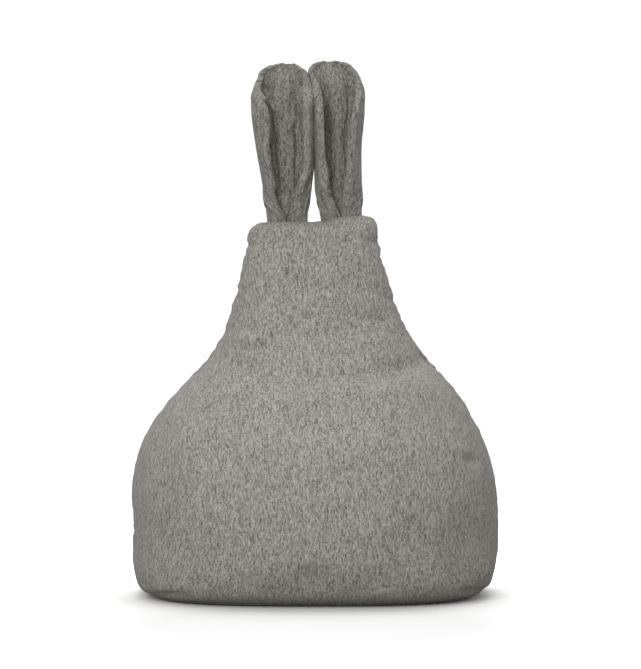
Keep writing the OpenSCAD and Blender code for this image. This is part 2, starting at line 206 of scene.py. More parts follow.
body_height = 632 * MM
shoulder_z = 590 * MM
top_seam_y = 75 * MM
base_seam_z = 4 * MM

# Side outlines and the front's and neck's profiles: [height, distance], in millimetres
left_outline = [
    (0, -299), (55, -302.5), (120, -306), (190, -307), (242, -296), (293, -273), (343, -232), (394, -186),
    (428, -162), (462, -149), (513, -134), (564, -124), (598, -116),
]
right_outline = [
    (0, 293), (55, 302), (105, 307), (157, 306.5), (208, 299.5), (259, 284), (293, 268), (326, 250),
    (360, 223), (394, 194), (428, 168), (462, 149), (513, 130), (564, 115), (598, 107),
]
front_profile = [
    (0, -257), (45, -280), (95, -296), (150, -301), (200, -291), (250, -268), (300, -228), (350, -173),
    (398, -110), (440, -70), (500, -33), (562, -8), (598, 14),
]
neck_profile = [(380, 187.2), (430, 196.3), (495, 155), (560, 136), (598, 123)]
back_radius, back_centre_y, back_centre_z, back_arc_top = 430, -130, 150, 430
base_turn, base_tuck_sides, base_tuck_ends = 45, 36, 44
top_left_half, top_right_half = 86, 92


def ease(t):
    """Smooth step: 3 t^2 - 2 t^3 of t held between 0 and 1."""
    t = np.clip(t, 0, 1)
    return t * t * (3 - 2 * t)


def smooth_curve(points, x):
    """A cubic through all the points, whose slope at each comes from the points on either side."""
    px, py = np.array(points, float).T
    slope = np.gradient(py, px)
    x = np.clip(x, px[0], px[-1])
    k = np.clip(np.searchsorted(px, x, side="right") - 1, 0, len(px) - 2)
    span = px[k + 1] - px[k]
    t = (x - px[k]) / span
    return (
        (2 * t**3 - 3 * t**2 + 1) * py[k] + (t**3 - 2 * t**2 + t) * span * slope[k]
        + (3 * t**2 - 2 * t**3) * py[k + 1] + (t**3 - t**2) * span * slope[k + 1]
    )


def back_profile(z):
    """How far back the bag reaches, in millimetres: a true arc up to the neck, and then a curve."""
    arc = back_centre_y + np.sqrt(back_radius**2 - (np.minimum(z, back_arc_top) - back_centre_z) ** 2)
    return np.where(z <= back_arc_top, arc, smooth_curve(neck_profile[1:], z))


def level_section(z, inset=0.0):
    """Middle and half sizes, in metres, of the bag's level section at height z. They follow the
    outlines, turn in to the base along a power curve, and close to the top seam along a quarter
    ellipse."""
    level = np.minimum(z, shoulder_z) / MM
    rise = np.maximum(z - shoulder_z, 0) / (body_height - shoulder_z)
    fade = np.sqrt(np.clip(1 - rise**2, 0, 1))
    turned = np.clip(1 - level / base_turn, 0, 1) ** 4.5
    left = smooth_curve(left_outline, level) + base_tuck_sides * turned
    right = smooth_curve(right_outline, level) - base_tuck_sides * turned
    left = -top_left_half + (left + top_left_half) * fade
    right = top_right_half + (right - top_right_half) * fade
    front = smooth_curve(front_profile, level) + base_tuck_ends * turned
    back = back_profile(level) - base_tuck_ends * turned
    middle_y = (front + back) / 2 * (1 - rise) + top_seam_y / MM * rise
    half_y = np.maximum((back - front) / 2 * fade * MM - inset, 0.4 * MM)
    return (left + right) / 2 * MM, (right - left) / 2 * MM - inset, middle_y * MM, half_y


def seam_lift(x, z):
    """How much the top seam rises towards the right, fading out below the shoulder."""
    return 10 * MM * ease(x / 0.06) * ease((z - 0.53) / 0.1)


def plan_power(z):
    """How square the level section is: 2 is an ellipse, and it is squarer where the bag sits down."""
    return 2.3 + 0.5 * (1 - ease(z / 0.12))


def body_point(z, angle, inset=0.0):
    """The bag's skin at height z and at an angle from +X towards +Y, both arrays, in metres. A level
    section is a superellipse: x = a |cos|^(2/n) and y = b |sin|^(2/n) from its middle."""
    middle_x, half_x, middle_y, half_y = level_section(z, inset)
    power = 2 / plan_power(z)
    x = middle_x + half_x * np.sign(np.cos(angle)) * np.abs(np.cos(angle)) ** power
    y = middle_y + half_y * np.sign(np.sin(angle)) * np.abs(np.sin(angle)) ** power
    return np.stack([x, y, z + seam_lift(x, z)], axis=-1)


def angle_at_x(z, x, inset=0.0):
    """The angle at which the section at height z reaches a distance x from the middle plane."""
    middle_x, half_x = level_section(z, inset)[:2]
    share = np.clip((x - middle_x) / half_x, -1, 1)
    return np.arccos(np.sign(share) * np.abs(share) ** (plan_power(z) / 2))


def crowded(count):
    """count + 1 shares from 0 to 1 that crowd together at both ends: t - 0.6 sin(2 pi t) / (2 pi)."""
    t = np.linspace(0, 1, count + 1)
    return t - 0.6 * np.sin(2 * np.pi * t) / (2 * np.pi)


# The back panels lie open by this much along the zip, and meet above and below it
zip_edge_x = 4 * MM
zip_open_low, zip_open_high = 46 * MM, 414 * MM


def back_edge_x(z):
    """Distance of the back panels' inner edges from the middle plane."""
    open_share = ease((z - zip_open_low) / 0.012) * ease((zip_open_high - z) / 0.012)
    return 0.2 * MM + (zip_edge_x - 0.2 * MM) * open_share


front_columns, back_columns = 112, 56
seam_angle = np.arccos(1 - base_seam_z / MM / base_turn)
base_turn_heights = base_turn * MM * (1 - np.cos(np.linspace(0, seam_angle, 6)))
wall_heights = np.concatenate([
    base_turn * MM * (1 - np.cos(np.linspace(seam_angle, np.pi / 2, 8)))[:-1],
    np.linspace(base_turn * MM, shoulder_z, 84)[:-1],
    shoulder_z + (body_height - shoulder_z) * np.sin(np.linspace(0, np.pi / 2, 11)),
])


def skin_ring(z, inset=0.0):
    """Rows of the skin at heights z. Columns go round from the right side seam over the right back
    panel to the zip, over the left back panel to the left side seam, and back over the front."""
    z = np.asarray(z)[:, None]
    edge = back_edge_x(z)
    right_end, left_start = angle_at_x(z, edge, inset), angle_at_x(z, -edge, inset)
    right = right_end * crowded(back_columns)
    left = left_start + (np.pi - left_start) * crowded(back_columns)
    front = np.pi + np.pi * crowded(front_columns)[1:-1] + 0 * z
    return body_point(z, np.concatenate([right, left, front], axis=1), inset)


base_edge = skin_ring([0.0])
base_middle = base_edge.mean(axis=1, keepdims=True)
base_shares = np.linspace(0.03, 1, 20)[:-1, None, None]
skin = np.concatenate([
    base_middle + (base_edge - base_middle) * base_shares,
    skin_ring(base_turn_heights[:-1]),
    skin_ring(wall_heights),
])
seam_row = len(skin) - len(wall_heights)
left_seam_column = 2 * back_columns + 1


def ring_normals(points):
    """Outward unit normals of a grid whose columns run round and meet, from central differences."""
    across = np.roll(points, -1, axis=1) - np.roll(points, 1, axis=1)
    normals = np.cross(across, np.gradient(points, axis=0))
    return normals / np.maximum(np.linalg.norm(normals, axis=-1, keepdims=True), 1e-12)


def grid_faces(rows, columns, closed=False):
    """Quads between neighbouring rows and columns, whose outward side is across x along."""
    r, c = np.meshgrid(np.arange(rows - 1), np.arange(columns if closed else columns - 1), indexing="ij")
    beyond = (c + 1) % columns
    corners = [r * columns + c, r * columns + beyond, (r + 1) * columns + beyond, (r + 1) * columns + c]
    return np.stack(corners, axis=-1).reshape(-1, 4).tolist()


def blurred(values, passes):
    """The values averaged with their neighbours, a quarter, a half and a quarter, that many times."""
    for _ in range(passes):
        values = (np.roll(values, 1, axis=1) + 2 * values + np.roll(values, -1, axis=1)) / 4
        ends = np.concatenate([values[:1], values, values[-1:]])
        values = (ends[:-2] + 2 * ends[1:-1] + ends[2:]) / 4
    return values


def cloth_wrinkles(points, held, sewn, pressure, slack, cap, passes):
    """How far the cloth wrinkles from its smooth shape, along the normals, in metres.

    Blender's cloth is blown up with its held points pinned. It is cut larger than the shape by the
    share slack, except at its sewn points, where the stitches keep it short, so it puckers there. The
    broad swelling is taken off again, because the shape is the filled one, and the rest is capped."""
    shape = new_mesh("cloth_under_pressure", points, grid_faces(*points.shape[:2], closed=True), None)
    for name, weights in (("held", held), ("sewn", sewn)):
        group = shape.vertex_groups.new(name=name)
        for index in np.flatnonzero(weights.ravel() > 0).tolist():
            group.add([index], float(weights.ravel()[index]), "REPLACE")
    cloth = shape.modifiers.new("cloth", "CLOTH")
    settings = cloth.settings
    settings.quality = 5
    settings.mass = 0.3
    settings.tension_stiffness = settings.compression_stiffness = 15
    settings.shear_stiffness = 5
    settings.bending_stiffness = 0.4
    settings.vertex_group_mass = "held"
    settings.vertex_group_shrink = "sewn"
    settings.shrink_min, settings.shrink_max = -slack, 0.0
    settings.use_pressure = True
    settings.uniform_pressure_force = pressure
    settings.effector_weights.gravity = 0
    cloth.point_cache.frame_start, cloth.point_cache.frame_end = 1, 20
    for step in range(1, 21):
        bpy.context.scene.frame_set(step)
    blown = shape.evaluated_get(bpy.context.evaluated_depsgraph_get()).to_mesh()
    settled = np.empty(points.size, np.float32)
    blown.vertices.foreach_get("co", settled)
    bpy.data.objects.remove(shape)
    bpy.context.scene.frame_set(1)
    moved = ((settled.reshape(points.shape) - points) * ring_normals(points)).sum(-1)
    return np.clip(moved - blurred(moved, passes), -cap, cap)


def near_zip(points):
    """1 beside the zip, falling to 0 away from it, where the cloth has to follow the zip's arc."""
    beside = 1 - ease((np.abs(points[..., 0]) - 0.02) / 0.04)
    level = 1 - ease((np.abs(points[..., 2] - 0.23) - 0.19) / 0.05)
    return beside * level * (points[..., 1] > 0)


def hollow(across, up, centre, size, turn, depth):
    """A soft dent or swell: depth times a bell curve at centre, of that size and turned by degrees.
    Everything is in millimetres except the places, which are in metres."""
    dx, dz = across / MM - centre[0], up / MM - centre[1]
    along = dx * np.cos(np.radians(turn)) + dz * np.sin(np.radians(turn))
    over = dz * np.cos(np.radians(turn)) - dx * np.sin(np.radians(turn))
    return depth * MM * np.exp(-(along / size[0]) ** 2 - (over / size[1]) ** 2)


def dented(points, dents):
    """The sum of all the hollows and swells at each point of a grid."""
    return sum(hollow(points[..., 0], points[..., 2], *dent) for dent in dents)


# Hollows and swells of the front: (x, height), (half length, half width), turn, depth
front_dents = [
    ((-104, 420), (30, 6), 4, -9.0), ((-98, 434), (34, 11), 4, 5.0), ((-108, 384), (34, 7), -22, -6.0),
    ((-70, 382), (90, 13), -9, -9.0), ((60, 372), (110, 15), 7, -8.0), ((150, 388), (50, 12), 14, -7.0),
    ((20, 340), (150, 18), 3, 4.0), ((20, 258), (120, 22), 3, 3.5), ((258, 235), (14, 9), -20, -9.0),
    ((240, 246), (30, 12), -25, 4.0),
    ((246, 100), (34, 60), 0, -6.0), ((-240, 210), (26, 70), 12, -3.5), ((-150, 315), (60, 20), 35, -3.5),
    ((-40, 604), (22, 4), 27, -5.5), ((-28, 596), (32, 8), 27, 2.5), ((58, 622), (14, 5), 35, -2.5),
    ((-236, 16), (32, 6), 8, -6.0), ((262, 18), (28, 6), -10, -6.0), ((0, 520), (70, 60), 0, 2.5),
    ((120, 330), (60, 26), -38, 2.0), ((-60, 160), (150, 60), 0, 1.5), ((215, 300), (60, 14), -48, -2.0),
    ((-205, 262), (18, 60), 20, 2.0), ((90, 455), (60, 16), 24, -2.0), ((-60, 470), (16, 60), 8, -1.5),
]
back_dents = [
    ((90, 360), (70, 16), -25, -4.0), ((-95, 350), (70, 16), 22, -4.5), ((170, 170), (20, 80), 8, -4.0),
    ((-180, 190), (22, 80), -10, -4.0), ((60, 500), (40, 14), -10, -3.0), ((-70, 470), (50, 12), 14, -3.0),
    ((210, 270), (60, 24), -40, 3.0), ((-205, 280), (60, 24), 42, 3.0), ((0, 560), (60, 12), 0, -3.0),
]

skin_rows, skin_columns = skin.shape[:2]
row_number, column_number = np.indices((skin_rows, skin_columns))
distance_up = row_number - seam_row
pinned = (distance_up < -3) | (row_number == skin_rows - 1) | (near_zip(skin) > 0.5)
side_seams = (column_number == 0) | (column_number == left_seam_column)
sewn = side_seams & (distance_up >= 0) | (row_number == skin_rows - 1)
wrinkles = 0.0 * distance_up
wrinkles = cloth_wrinkles(skin, pinned, sewn, 4.0, 0.03, 5 * MM, 60)
wrinkles = wrinkles * (ease(distance_up / 10) * ease((skin_rows - 1 - row_number) / 6))
lining_wrinkles = wrinkles * (distance_up > 2)
skin = skin + ring_normals(skin) * (wrinkles * (1 - near_zip(skin)) * (distance_up > -1))[..., None]
skin_normals = ring_normals(skin)


# ---- Cover's walls --------------------------------------------------------------------------------
# One wide front panel and two back panels of linen-look polyester. They are sewn inside out, turned,
# and packed tight by the beads, so each seam lies in a soft groove with small puckers running into it.

def linen_look(name, dark, middle, light):
    """Linen-look polyester: a plain weave of slubby yarns spun from dark and light fibre. It reads as
    short upright streaks over a fainter level weft, matt, with a little fuzz at grazing angles."""
    material, tree, output = new_material(name)
    cloth = add_node(tree, "ShaderNodeUVMap", {"uv_map": "weave"}).outputs["UV"]
    place = add_node(tree, "ShaderNodeSeparateXYZ", {0: cloth})

    def slubs(over, along, width_mm, length_mm, seed):
        """Tone along each yarn of that width: its own noise, that changes over the length."""
        widths = add_node(tree, "ShaderNodeMath", {"operation": "MULTIPLY", 0: over, 1: 1 / (width_mm * MM)})
        yarn = add_node(tree, "ShaderNodeMath", {"operation": "FLOOR", 0: widths.outputs[0]})
        apart = add_node(tree, "ShaderNodeMath", {"operation": "MULTIPLY", 0: yarn.outputs[0], 1: 7.37})
        lengths = {"operation": "MULTIPLY", 0: along, 1: 1 / (length_mm * MM)}
        wander = add_node(tree, "ShaderNodeMath", lengths)
        spot = {"X": apart.outputs[0], "Y": wander.outputs[0], "Z": seed}
        place_on_yarn = add_node(tree, "ShaderNodeCombineXYZ", spot)
        noise = {"Scale": 1.0, "Detail": 1.0, "Vector": place_on_yarn.outputs[0]}
        return add_node(tree, "ShaderNodeTexNoise", noise).outputs["Fac"]

    def mottle(width_mm, length_mm, detail, seed):
        """Smooth blotches of that size."""
        size = (1 / (width_mm * MM), 1 / (length_mm * MM), 1.0)
        placed = {"Scale": size, "Location": (seed, seed, 0.0), "Vector": cloth}
        scaled = add_node(tree, "ShaderNodeMapping", placed)
        noise = {"Scale": 1.0, "Detail": detail, "Vector": scaled.outputs[0]}
        return add_node(tree, "ShaderNodeTexNoise", noise).outputs["Fac"]

    def blend_of(parts, middle):
        """The weighted sum of several noises, set about that middle. Each noise is about one half."""
        total = middle - 0.5 * sum(weight for weight, _ in parts)
        for weight, noise in parts:
            step = {"operation": "MULTIPLY_ADD", 0: noise, 1: weight, 2: total}
            total = add_node(tree, "ShaderNodeMath", step).outputs[0]
        return total

    # Such yarns usually lie about 1 mm apart. They are drawn 1.35 mm apart, so that they show, with
    # slubs 7 to 26 mm long.
    yarn_mm = 1.35
    over, along = place.outputs["X"], place.outputs["Y"]
    warp = slubs(over, along, yarn_mm, 7.0, 3.0)
    warp_long = slubs(over, along, yarn_mm, 26.0, 9.0)
    weft = slubs(along, over, yarn_mm, 5.0, 23.0)
    patches = mottle(55.0, 90.0, 2.0, 7.9)
    soft = mottle(9.0, 30.0, 1.0, 31.7)
    tone = blend_of([(1.4, warp), (0.9, warp_long), (0.75, weft), (0.12, patches), (0.08, soft)], 0.5)
    relief = blend_of([(1.0, warp), (0.5, weft), (0.4, soft)], 0.0)
    join_surface(
        tree, output, tone, [(0.1, dark), (0.5, middle), (0.9, light)], (relief, 0.6, 0.5),
        (warp, 0.84, 0.98), {"Specular IOR Level": 0.25, "Sheen Weight": 0.1, "Sheen Roughness": 0.6},
    )
    return material


cover_cloth = linen_look("cover_linen_look_polyester", "#5a5752", "#918d87", "#b7b3ab")
cover_thickness = 1.6 * MM
seam_reach, seam_depth, pucker_reach = 6 * MM, 4.5 * MM, 24 * MM
side_lips = np.array([1.5, 3.5, 6.0]) * MM
zip_lips = np.array([0.5, 1.0, 1.6]) * MM


def waviness(along, seed):
    """A wandering ripple between -1 and 1: three sines whose wavelengths don't repeat together."""
    start = np.random.default_rng(seed).uniform(0, 2 * np.pi, 3)
    waves = [np.sin(2 * np.pi * along / length + s) for length, s in zip((0.0175, 0.0262, 0.0413), start)]
    return 0.45 * waves[0] + 0.35 * waves[1] + 0.35 * waves[2]


def seam_shape(distance, along, seed, depth=1.0, pucker=1.0):
    """How far the cloth drops towards a seam: a groove that fades with distance from the stitches,
    and puckers that start at them and fade more slowly."""
    groove = -depth * seam_depth * np.exp(-distance / seam_reach)
    ripple = waviness(along, seed) * np.exp(-distance / pucker_reach) * ease(distance / 0.007)
    return groove + pucker * 1.4 * MM * ripple


def finer(values):
    """Twice as many rows and columns, with the new points on a cubic through their neighbours."""
    for axis in (0, 1):
        moved = np.moveaxis(values, axis, 0)
        ends = np.concatenate([2 * moved[:1] - moved[1:2], moved, 2 * moved[-1:] - moved[-2:-1]])
        halfway = (9 * (ends[1:-2] + ends[2:-1]) - ends[:-3] - ends[3:]) / 16
        woven = np.empty((2 * len(moved) - 1, *moved.shape[1:]))
        woven[::2], woven[1::2] = moved, halfway
        values = np.moveaxis(woven, 0, axis)
    return values


def closed_faces(rows, columns):
    """Faces of a closed grid whose columns run round and meet, with a flat face at each end."""
    ends = [list(range(columns))[::-1], [(rows - 1) * columns + c for c in range(columns)]]
    return grid_faces(rows, columns, closed=True) + ends


def arc_length(points, axis):
    """Distance walked along a grid's rows or columns from its first point."""
    steps = np.linalg.norm(np.diff(points, axis=axis), axis=-1)
    return np.concatenate([0 * np.take(steps, [0], axis=axis), np.cumsum(steps, axis=axis)], axis=axis)


def lay_weave(piece, across, along):
    """Writes a UV map in metres of cloth, from the distance across and along the grain at each point."""
    layer = piece.data.uv_layers.new(name="weave")
    corner = np.empty(len(piece.data.loops), np.int32)
    piece.data.loops.foreach_get("vertex_index", corner)
    cloth = np.stack([across.ravel()[corner], along.ravel()[corner]], axis=-1)
    layer.data.foreach_set("uv", cloth.astype(np.float32).ravel())


def thicken(piece, thickness):
    """Gives a sheet its thickness, inwards."""
    shell = piece.modifiers.new("cloth_thickness", "SOLIDIFY")
    shell.thickness = thickness
    shell.offset = -1.0


def cover_part(made, node):
    """Hides that node's own part, which the padded piece stands for, and makes the piece move with the cover.
    """
    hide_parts(node)
    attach(made, "cover")


def wall_panel(node, columns, grain_column, left, right, dents, seed):
    """Cuts a panel out of the skin's walls, and gives it its dents, its seams' grooves and puckers and
    a lip of seam allowance that turns in along both upright edges. left and right each give how deep
    that seam's groove is, and its lip."""
    points = finer(skin[seam_row:, columns])
    normals = finer(skin_normals[seam_row:, columns])
    normals /= np.linalg.norm(normals, axis=-1, keepdims=True)
    across, along = arc_length(points, 1), arc_length(points, 0)
    shift = dented(points, dents)
    shift += seam_shape(across, along, seed, *left[:2])
    shift += seam_shape(across[:, -1:] - across, along, seed + 1, *right[:2])
    shift += seam_shape(along, across, seed + 2, 0.12, 0.4)
    shift += seam_shape(along[-1:] - along, across, seed + 3, 0.7)
    points = points + normals * (shift * (1 - near_zip(points)))[..., None]
    lips_left = [points[:, :1] - normals[:, :1] * depth for depth in left[2][::-1]]
    lips_right = [points[:, -1:] - normals[:, -1:] * depth for depth in right[2]]
    whole = np.concatenate(lips_left + [points] + lips_right, axis=1)
    made = new_mesh(f"{node}_cloth", whole, grid_faces(*whole.shape[:2]), cover_cloth)
    cloth_across = arc_length(whole, 1)
    grain = int(grain_column * (whole.shape[1] - 1))
    cloth_along = arc_length(whole, 0)[:, [whole.shape[1] // 2]]
    lay_weave(made, cloth_across - cloth_across[:, [grain]], cloth_along + 0 * cloth_across)
    thicken(made, cover_thickness)
    cover_part(made, node)


side_seam, middle_seam = (1.0, 1.0, side_lips), (0.8, 0.9, zip_lips)
front_columns_round = [*range(left_seam_column, skin_columns), 0]
right_columns_round = list(range(back_columns + 1))
left_columns_round = list(range(back_columns + 1, left_seam_column + 1))
wall_panel("front_panel", front_columns_round, 0.5, side_seam, side_seam, front_dents, 11)
wall_panel("back_right_panel", right_columns_round, 1.0, side_seam, middle_seam, back_dents, 23)
wall_panel("back_left_panel", left_columns_round, 0.0, middle_seam, side_seam, back_dents, 37)


# ---- Base panel -----------------------------------------------------------------------------------
# One flat piece of the same cloth, pressed to the floor by the beads. It curves up at its edge to the
# seam that joins it to the walls, a few millimetres above the floor.

base_points = skin[:seam_row + 1]
base_normals = skin_normals[:seam_row + 1]
to_seam = arc_length(base_points, 0)
to_seam = to_seam[-1:] - to_seam
base_groove = seam_shape(to_seam, 0 * to_seam, 5, 0.12, 0.0) * (to_seam < 0.03)
base_points = base_points + base_normals * base_groove[..., None]
base_faces = grid_faces(*base_points.shape[:2], closed=True) + [list(range(skin_columns))[::-1]]
base_panel = new_mesh("base_panel_cloth", base_points, base_faces, cover_cloth)
lay_weave(base_panel, base_points[..., 0], base_points[..., 1])
thicken(base_panel, cover_thickness)
cover_part(base_panel, "base_panel")


# ---- Ears -----------------------------------------------------------------------------------------
# Each ear is two leaves of the same cloth, sewn round the edge, turned, and lightly stuffed with
# polyester wadding. Its sides are rolled forward and folded together at the root, and the root is
# caught in the cover's top seam, so the ear stands up, cupped, and flops when it is pushed.

# Painted shade: the ears are the cover's cloth drawn in darker tones, so that they read as less lit than the
# body
ear_cloth_painted_shade = linen_look("ear_linen_look_polyester_painted_shade", "#4c4945", "#827f79", "#a7a49d")
ear_thickness = 1.0 * MM


def soft_white(name, grain_mm, stretch, bump_mm, tones):
    """A white material whose grain is that size in millimetres, drawn out by stretch along Z: fibres
    of wadding, or the pressed dots of spun-bonded cloth. It is matt, and a little uneven in tone."""
    material, tree, output = new_material(name)
    place = add_node(tree, "ShaderNodeTexCoord").outputs["Object"]
    scale = 1 / (grain_mm * MM)
    drawn = add_node(tree, "ShaderNodeMapping", {"Scale": (scale, scale, scale / stretch), "Vector": place})
    noise = {"Scale": 1.0, "Detail": 4.0, "Vector": drawn.outputs[0]}
    grain = add_node(tree, "ShaderNodeTexNoise", noise).outputs["Fac"]
    cells = add_node(tree, "ShaderNodeTexVoronoi", {"Scale": 1.0, "Vector": drawn.outputs[0]})
    height = add_node(tree, "ShaderNodeMath", {"operation": "ADD", 0: grain, 1: cells.outputs["Distance"]})
    join_surface(
        tree, output, grain, [(0.0, tones[0]), (1.0, tones[1])], (height.outputs[0], 0.7, bump_mm),
        (grain, 0.75, 0.95), {},
    )
    return material


wadding_fibre = soft_white("wadding_carded_polyester_fibre", 1.5, 6.0, 1.0, ("#e2e2dd", "#fbfbf9"))

# Rows of the middle surface between the leaves, in millimetres: height, outer left, inner edge of the
# left roll, inner edge of the right roll, outer right, back of the ear, front of the rolls
left_ear_rows = [
    (612, -76, -49, -45, -17, 76, 70), (640, -79, -51, -46, -17, 81, 62), (658, -81.5, -62, -40, -16, 87, 57),
    (672, -82.5, -68, -34, -15, 91, 54), (690, -83, -68.5, -28.5, -13.5, 95, 47),
    (716, -88, -71.5, -16.5, -11, 99, 43), (756, -95, -77, -14.5, -8, 101, 40),
    (797, -101, -76, -15.5, -7, 101, 40), (829, -104, -83.5, -17, -7.5, 99, 47),
    (842, -104, -90, -18, -8.5, 98, 60), (856, -101, -99, -19, -10, 98, 74),
    (874, -95, -94, -20, -14, 97, 86),
    (889, -88, -87, -24, -20, 97, 91), (898, -72, -71, -34, -32, 96, 93), (903, -54, -53, -39, -38, 96, 94),
]
right_ear_rows = [
    (618, 16, 42, 45, 76, 76, 70), (644, 13, 42.5, 45, 76, 81, 62), (658, 10.5, 36, 45.5, 76.5, 86, 58),
    (672, 8.5, 29.6, 46.5, 76.5, 90, 55), (686, 7, 26.5, 48, 75.5, 95, 48),
    (712, 5.5, 21.6, 51, 73.5, 98, 45),
    (740, 5, 13.5, 55, 73, 101, 43), (768, 5, 10.5, 58.5, 74, 103, 43), (800, 4.5, 9, 63, 76, 103, 43),
    (829, 4, 7, 70.5, 76.5, 102, 50), (847, 3, 4.5, 75.5, 77.5, 101, 66), (863, 0, 1, 75, 76, 100, 80),
    (879, -4, -3, 70, 71, 99, 90), (892, -6.5, -5.5, 61, 62, 98, 93), (901, 2, 3, 51, 52, 98, 95),
    (907, 16, 17, 30, 31, 98, 96),
]
ear_columns, ear_levels = 90, 104

# Hollows and swells of each ear's front leaf, then of its back leaf, as for the body
left_ear_dents = [
    ((-85, 860), (13, 11), -20, -7.0), ((-74, 828), (17, 4), -38, 4.0), ((-21, 872), (5, 8), 20, -5.0),
    ((-47, 661), (9, 9), 0, 7.0), ((-53, 679), (14, 3), 10, -4.5), ((-46, 800), (5, 30), 4, 1.5),
    ((-60, 745), (5, 34), -4, 1.5),
]
right_ear_dents = [
    ((13, 832), (7, 45), 4, -5.0), ((37, 667), (8, 3), -15, -4.5), ((38, 780), (5, 50), 2, 2.0),
    ((60, 872), (12, 8), 30, -3.0), ((36, 880), (14, 9), 0, 2.0),
]
left_roll_dents = [
    ((-90, 838), (9, 4), -20, 3.5), ((-84, 700), (4, 26), 12, -1.5), ((-30, 668), (5, 30), -30, -1.6),
    ((-70, 652), (20, 4), -30, 1.6),
]
right_roll_dents = [
    ((62, 652), (18, 8), 20, -2.5), ((25, 690), (4, 30), 12, -1.8), ((70, 760), (4, 50), 3, -1.2),
]


def through(stops, t):
    """A Catmull-Rom curve through evenly spaced stops, each an array over the rows, read at shares t
    from 0 to 1 over the columns."""
    stops = np.stack(stops, axis=1)
    before, after = 2 * stops[:, :1] - stops[:, 1:2], 2 * stops[:, -1:] - stops[:, -2:-1]
    ends = np.concatenate([before, stops, after], axis=1)
    place = np.clip(t, 0, 1) * (stops.shape[1] - 1)
    k = np.minimum(place.astype(int), stops.shape[1] - 2)
    u = place - k
    a, b, c, d = (ends[:, k + i] for i in range(4))
    return 0.5 * (2 * b + (c - a) * u + (2 * a - 5 * b + 4 * c - d) * u**2 + (3 * b - a - 3 * c + d) * u**3)


def grid_normals(points):
    """Unit normals of an open grid of points, across x along."""
    normals = np.cross(np.gradient(points, axis=1), np.gradient(points, axis=0))
    return normals / np.maximum(np.linalg.norm(normals, axis=-1, keepdims=True), 1e-12)


def ear_middle(rows):
    """The middle surface of an ear. At each height a curve runs in from one roll's inner edge, round
    the roll, over the back, round the other roll and in again."""
    table = np.array(rows, float)
    share = np.linspace(0, 1, ear_levels)
    height = table[0, 0] + (table[-1, 0] - table[0, 0]) * (1 - (1 - share) ** 1.35)
    lo, li, ri, ro, back, front = (smooth_curve(table[:, [0, k]], height) for k in range(1, 7))
    depth, middle = back - front, (lo + ro) / 2
    turn = np.minimum(depth / 2, 14)
    curl_left, curl_right = li - lo, ro - ri
    stops_x = [
        li, lo + 0.5 * curl_left, lo, lo + 0.55 * turn, (lo + middle) / 2, middle, (ro + middle) / 2,
        ro - 0.55 * turn, ro, ro - 0.5 * curl_right, ri,
    ]
    stops_y = [
        front + 0.16 * depth, front, front + 0.45 * depth, back - 0.08 * depth, back, back, back,
        back - 0.08 * depth, front + 0.45 * depth, front, front + 0.16 * depth,
    ]
    t = np.linspace(0, 1, ear_columns + 1)
    x, y = through(stops_x, t) * MM, through(stops_y, t) * MM
    # The tables hold the height of the root's middle, so only the seam's slope across it is added
    at_root = 1 - ease((share[:, None] - 0.08) / 0.25)
    z = height[:, None] * MM + seam_lift(x, body_height) * at_root
    z -= seam_lift(x[0].mean(), body_height) * at_root
    return np.stack([x, y, z], axis=-1), t, share[:, None]


def ear_ring(rows):
    """The ear's closed skin: columns run over the front leaf and back over the back leaf. The leaves
    meet along the edge, and stand further apart at the middle, where most of the wadding lies."""
    middle, t, share = ear_middle(rows)
    normals = grid_normals(middle)
    edge = np.sqrt(np.clip(1 - np.abs(2 * t - 1) ** 8, 0, 1))
    stitched = 1.2 * np.exp(-((np.abs(2 * t - 1) - 0.93) / 0.018) ** 2) * (1 - ease((share - 0.55) / 0.2))
    tip = np.sqrt(np.clip(1 - share**10, 0, 1))
    plump = 3.5 + 2.5 * ease(share / 0.3) - 1.5 * ease((share - 0.75) / 0.25)
    panel = 8.0 * ease((share - 0.1) / 0.2) * (1 - ease((share - 0.72) / 0.2))
    panel = panel * np.exp(-((t - 0.5) / 0.085) ** 4)
    front = np.maximum((plump + panel) * edge - stitched, 0) * tip * MM
    back = np.maximum((plump + 0.3 * panel) * edge - stitched, 0) * tip * MM
    front_leaf, back_leaf = middle + normals * front[..., None], middle - normals * back[..., None]
    return np.concatenate([front_leaf, back_leaf[:, -2:0:-1]], axis=1)


def bend_from_seam(piece):
    """Bakes a piece of an ear's placement into its mesh."""
    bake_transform(piece)


